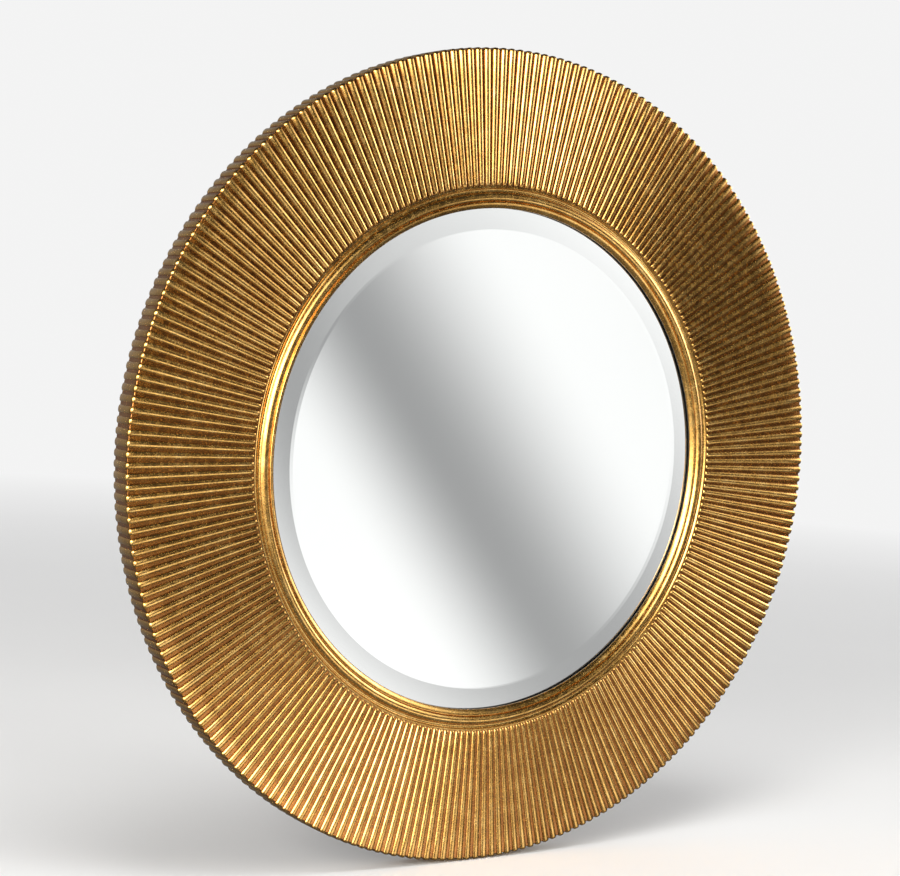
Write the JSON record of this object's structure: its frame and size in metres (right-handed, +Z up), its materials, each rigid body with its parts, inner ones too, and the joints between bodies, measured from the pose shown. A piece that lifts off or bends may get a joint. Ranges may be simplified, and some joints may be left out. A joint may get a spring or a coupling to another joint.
{
  "type": "round wall mirror",
  "caption": "Round wall mirror: a wide gilded ring of fine radial reeds, a turned sight moulding and a flat bevelled glass, with strap hangers and turn buttons behind.",
  "frame": {"origin": "centre of the mirror in the plane of the wall that it hangs on", "axes": "+Z up, the glass faces -Y, +X to the right as seen from the front"},
  "size_m": [0.9, 0.0376, 0.9],
  "materials": {
    "gilded_wood": "metal leaf, satin",
    "black_trim": "matt",
    "clear_glass": "polished",
    "silvered_back": "mirror",
    "hardboard": "matt",
    "zinc_steel": "zinc plated",
    "screw_steel": "zinc plated",
    "bumper_rubber": "matt"
  },
  "bodies": {
    "frame": {"fluted_ring": "gilded_wood", "sight_moulding": "gilded_wood", "glazing_strip": "black_trim", "mirror_glass": "clear_glass", "silvering": "silvered_back", "backing_board": "hardboard", "turn_button_screws": "screw_steel", "hanger_strap_left": "zinc_steel", "hanger_strap_right": "zinc_steel", "hanger_screws": "screw_steel", "bumper_1": "bumper_rubber", "bumper_2": "bumper_rubber", "bumper_3": "bumper_rubber", "bumper_4": "bumper_rubber"},
    "turn_button_1": {"turn_button_1": "zinc_steel"},
    "turn_button_2": {"turn_button_2": "zinc_steel"},
    "turn_button_3": {"turn_button_3": "zinc_steel"},
    "turn_button_4": {"turn_button_4": "zinc_steel"},
    "hanger_ring_left": {"hanger_ring_left": "zinc_steel"},
    "hanger_ring_right": {"hanger_ring_right": "zinc_steel"}
  },
  "joints": [
    {"name": "turn_button_1_pivot", "type": "hinge", "parent": "frame", "child": "turn_button_1", "pos_m": [0.20626, -0.0084, 0.20626], "axis": [0, 1, 0], "range_deg": [-95, 95]},
    {"name": "turn_button_2_pivot", "type": "hinge", "parent": "frame", "child": "turn_button_2", "pos_m": [0.20626, -0.0084, -0.20626], "axis": [0, 1, 0], "range_deg": [-95, 95]},
    {"name": "turn_button_3_pivot", "type": "hinge", "parent": "frame", "child": "turn_button_3", "pos_m": [-0.20626, -0.0084, -0.20626], "axis": [0, 1, 0], "range_deg": [-95, 95]},
    {"name": "turn_button_4_pivot", "type": "hinge", "parent": "frame", "child": "turn_button_4", "pos_m": [-0.20626, -0.0084, 0.20626], "axis": [0, 1, 0], "range_deg": [-95, 95]},
    {"name": "hanger_ring_left_swing", "type": "hinge", "parent": "frame", "child": "hanger_ring_left", "pos_m": [-0.23912, -0.00312, 0.28497], "axis": [-1, 0, 0], "range_deg": [0, 170]},
    {"name": "hanger_ring_right_swing", "type": "hinge", "parent": "frame", "child": "hanger_ring_right", "pos_m": [0.23912, -0.00312, 0.28497], "axis": [-1, 0, 0], "range_deg": [0, 170]}
  ]
}
